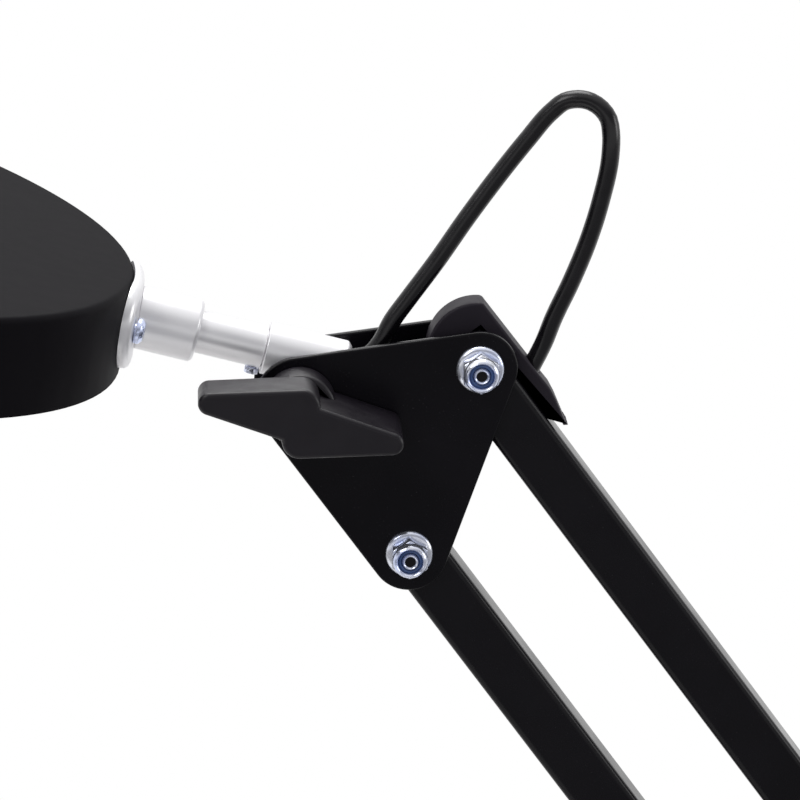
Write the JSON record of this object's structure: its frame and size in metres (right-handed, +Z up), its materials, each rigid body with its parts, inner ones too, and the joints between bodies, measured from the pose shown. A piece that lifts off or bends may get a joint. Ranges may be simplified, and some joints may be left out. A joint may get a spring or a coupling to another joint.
{
  "type": "clamp magnifying lamp",
  "caption": "Table-clamp magnifying lamp: swivel base, two parallelogram arms with square tubes, tilting and rolling round head with lidded lens, light ring and spare lead.",
  "frame": {"origin": "middle of the clamp's upper contact face, where it rests on the table top, on the swivel's axis", "axes": "+Z up along the swivel pin; arms in the XZ plane, the head towards -X; -Y is the side with the wing knobs"},
  "size_m": [0.5768, 0.2214, 1.0421],
  "materials": {
    "black_steel": "semi-gloss black powder coat",
    "rubber": "matt rubber",
    "white_nylon": "natural nylon",
    "black_plastic": "moulded black plastic",
    "gray_plastic": "satin dark plastic",
    "zinc_steel": "zinc plated steel",
    "blue_nylon": "blue nylon insert",
    "black_screws": "blackened screws",
    "neck_metal": "turned and polished",
    "head_shell": "matt top, glossy wall",
    "lens_glass": "clear optical glass",
    "board": "white solder mask",
    "diffuser": "opal diffuser",
    "cord": "satin PVC jacket"
  },
  "bodies": {
    "clamp": {"clamp_frame": "black_steel", "clamp_pad": "rubber", "socket_bush": "white_nylon", "lead": "cord", "lead_coil": "cord", "adapter": "black_plastic"},
    "clamp_disc": {"pressure_disc": "black_plastic"},
    "clamp_spindle": {"clamp_screw": "zinc_steel"},
    "swivel_base": {"base_pin": "zinc_steel", "base_bracket": "black_steel", "base_bolts": "zinc_steel", "base_nuts": "zinc_steel", "base_washers": "white_nylon", "lead_grommet": "rubber"},
    "lower_arm": {"lower_arm_tube": "black_steel", "lower_arm_foot_cap": "gray_plastic", "lower_arm_top_cap": "gray_plastic", "lower_arm_cord": "cord", "base_cord": "cord", "elbow_cord_lower": "cord"},
    "lower_link": {"lower_link_tube": "black_steel", "lower_link_spring": "zinc_steel"},
    "elbow": {"elbow_plate_front": "black_steel", "elbow_plate_rear": "black_steel", "elbow_bolts": "zinc_steel", "elbow_nuts": "zinc_steel", "elbow_washers": "white_nylon"},
    "elbow_tension_knob": {"elbow_knob": "gray_plastic"},
    "upper_arm": {"upper_arm_tube": "black_steel", "upper_arm_foot_cap": "gray_plastic", "upper_arm_head_cap": "gray_plastic", "upper_arm_cord": "cord", "elbow_cord_upper": "cord", "head_cord_front": "cord"},
    "upper_link": {"upper_link_tube": "black_steel", "upper_link_spring": "zinc_steel"},
    "head_bracket": {"head_plate_front": "black_steel", "head_plate_rear": "black_steel", "head_bolts": "zinc_steel", "head_nuts": "zinc_steel", "head_nut_rings": "blue_nylon", "head_washers": "white_nylon", "tilt_bolt": "zinc_steel"},
    "tilt_knob": {"wing_knob": "gray_plastic"},
    "holder": {"neck_holder": "neck_metal", "head_cord_rear": "cord"},
    "head": {"neck_rod": "neck_metal", "neck_screw": "black_screws", "neck_flange": "neck_metal", "flange_screws": "black_screws", "head_housing": "head_shell", "bottom_ring": "black_plastic", "lens": "lens_glass", "lens_gasket": "rubber", "lens_retainer": "black_plastic", "led_board": "board", "diffuser_ring": "diffuser"},
    "lens_lid": {"lid": "head_shell", "lid_pin": "zinc_steel"},
    "switch": {"power_button": "gray_plastic"}
  },
  "joints": [
    {"name": "clamp_travel", "type": "slide", "parent": "clamp", "child": "clamp_disc", "axis": [0, 0, 1], "range_m": [-0.02, 0.026]},
    {"name": "clamp_screw_turn", "type": "hinge", "parent": "clamp_disc", "child": "clamp_spindle", "pos_m": [0, 0, -0.05], "axis": [0, 0, 1], "range_deg": [-3605, 4685]},
    {"name": "base_turn", "type": "hinge", "parent": "clamp", "child": "swivel_base", "pos_m": [0, 0, 0.03], "axis": [0, 0, 1], "range_deg": [-150, 150], "deforming": ["lead"]},
    {"name": "lower_arm_swing", "type": "hinge", "parent": "swivel_base", "child": "lower_arm", "pos_m": [0.018, 0, 0.0642], "axis": [0, -1, 0], "range_deg": [-25, 40], "deforming": ["base_cord"]},
    {"name": "lower_link_swing", "type": "hinge", "parent": "swivel_base", "child": "lower_link", "pos_m": [-0.019, 0, 0.0727], "axis": [0, -1, 0], "range_deg": [-25, 40]},
    {"name": "elbow_level", "type": "hinge", "parent": "lower_arm", "child": "elbow", "pos_m": [0.15481, 0, 0.44008], "axis": [0, -1, 0], "range_deg": [-40, 25], "deforming": ["elbow_cord_lower"]},
    {"name": "elbow_knob_turn", "type": "hinge", "parent": "elbow", "child": "elbow_tension_knob", "pos_m": [0.15281, -0.02, 0.51708], "axis": [0, -1, 0], "range_deg": [-180, 180]},
    {"name": "upper_arm_swing", "type": "hinge", "parent": "elbow", "child": "upper_arm", "pos_m": [0.15281, 0, 0.51708], "axis": [0, -1, 0], "range_deg": [-31, 64], "deforming": ["elbow_cord_upper"]},
    {"name": "upper_link_swing", "type": "hinge", "parent": "elbow", "child": "upper_link", "pos_m": [0.13681, 0, 0.47408], "axis": [0, -1, 0], "range_deg": [-31, 64]},
    {"name": "head_level", "type": "hinge", "parent": "upper_arm", "child": "head_bracket", "pos_m": [-0.08231, 0, 0.84068], "axis": [0, -1, 0], "range_deg": [-64, 31], "deforming": ["head_cord_front"]},
    {"name": "tilt_knob_turn", "type": "hinge", "parent": "head_bracket", "child": "tilt_knob", "pos_m": [-0.12311, -0.02, 0.83368], "axis": [0, -1, 0], "range_deg": [-180, 180]},
    {"name": "head_tilt", "type": "hinge", "parent": "head_bracket", "child": "holder", "pos_m": [-0.12311, 0, 0.83368], "axis": [0, -1, 0], "range_deg": [-60, 55], "deforming": ["head_cord_rear"]},
    {"name": "head_roll", "type": "hinge", "parent": "holder", "child": "head", "pos_m": [-0.12109, 0, 0.84143], "axis": [-0.9677, 0, 0.2521], "range_deg": [-90, 90]},
    {"name": "lid_hinge", "type": "hinge", "parent": "head", "child": "lens_lid", "pos_m": [-0.33107, 0, 0.9095], "axis": [0, -1, 0], "range_deg": [0, 110]},
    {"name": "switch_press", "type": "slide", "parent": "head", "child": "switch", "axis": [-0.2521, 0, -0.9677], "range_m": [0, 0.0015], "stiffness_N_per_m": 400}
  ],
  "couplings": [
    {"joint": "clamp_screw_turn", "follows": "clamp_travel", "rad_per_m": 3141.6},
    {"joint": "lower_link_swing", "follows": "lower_arm_swing", "ratio": 1},
    {"joint": "elbow_level", "follows": "lower_arm_swing", "ratio": -1},
    {"joint": "upper_link_swing", "follows": "upper_arm_swing", "ratio": 1},
    {"joint": "head_level", "follows": "upper_arm_swing", "ratio": -1}
  ]
}
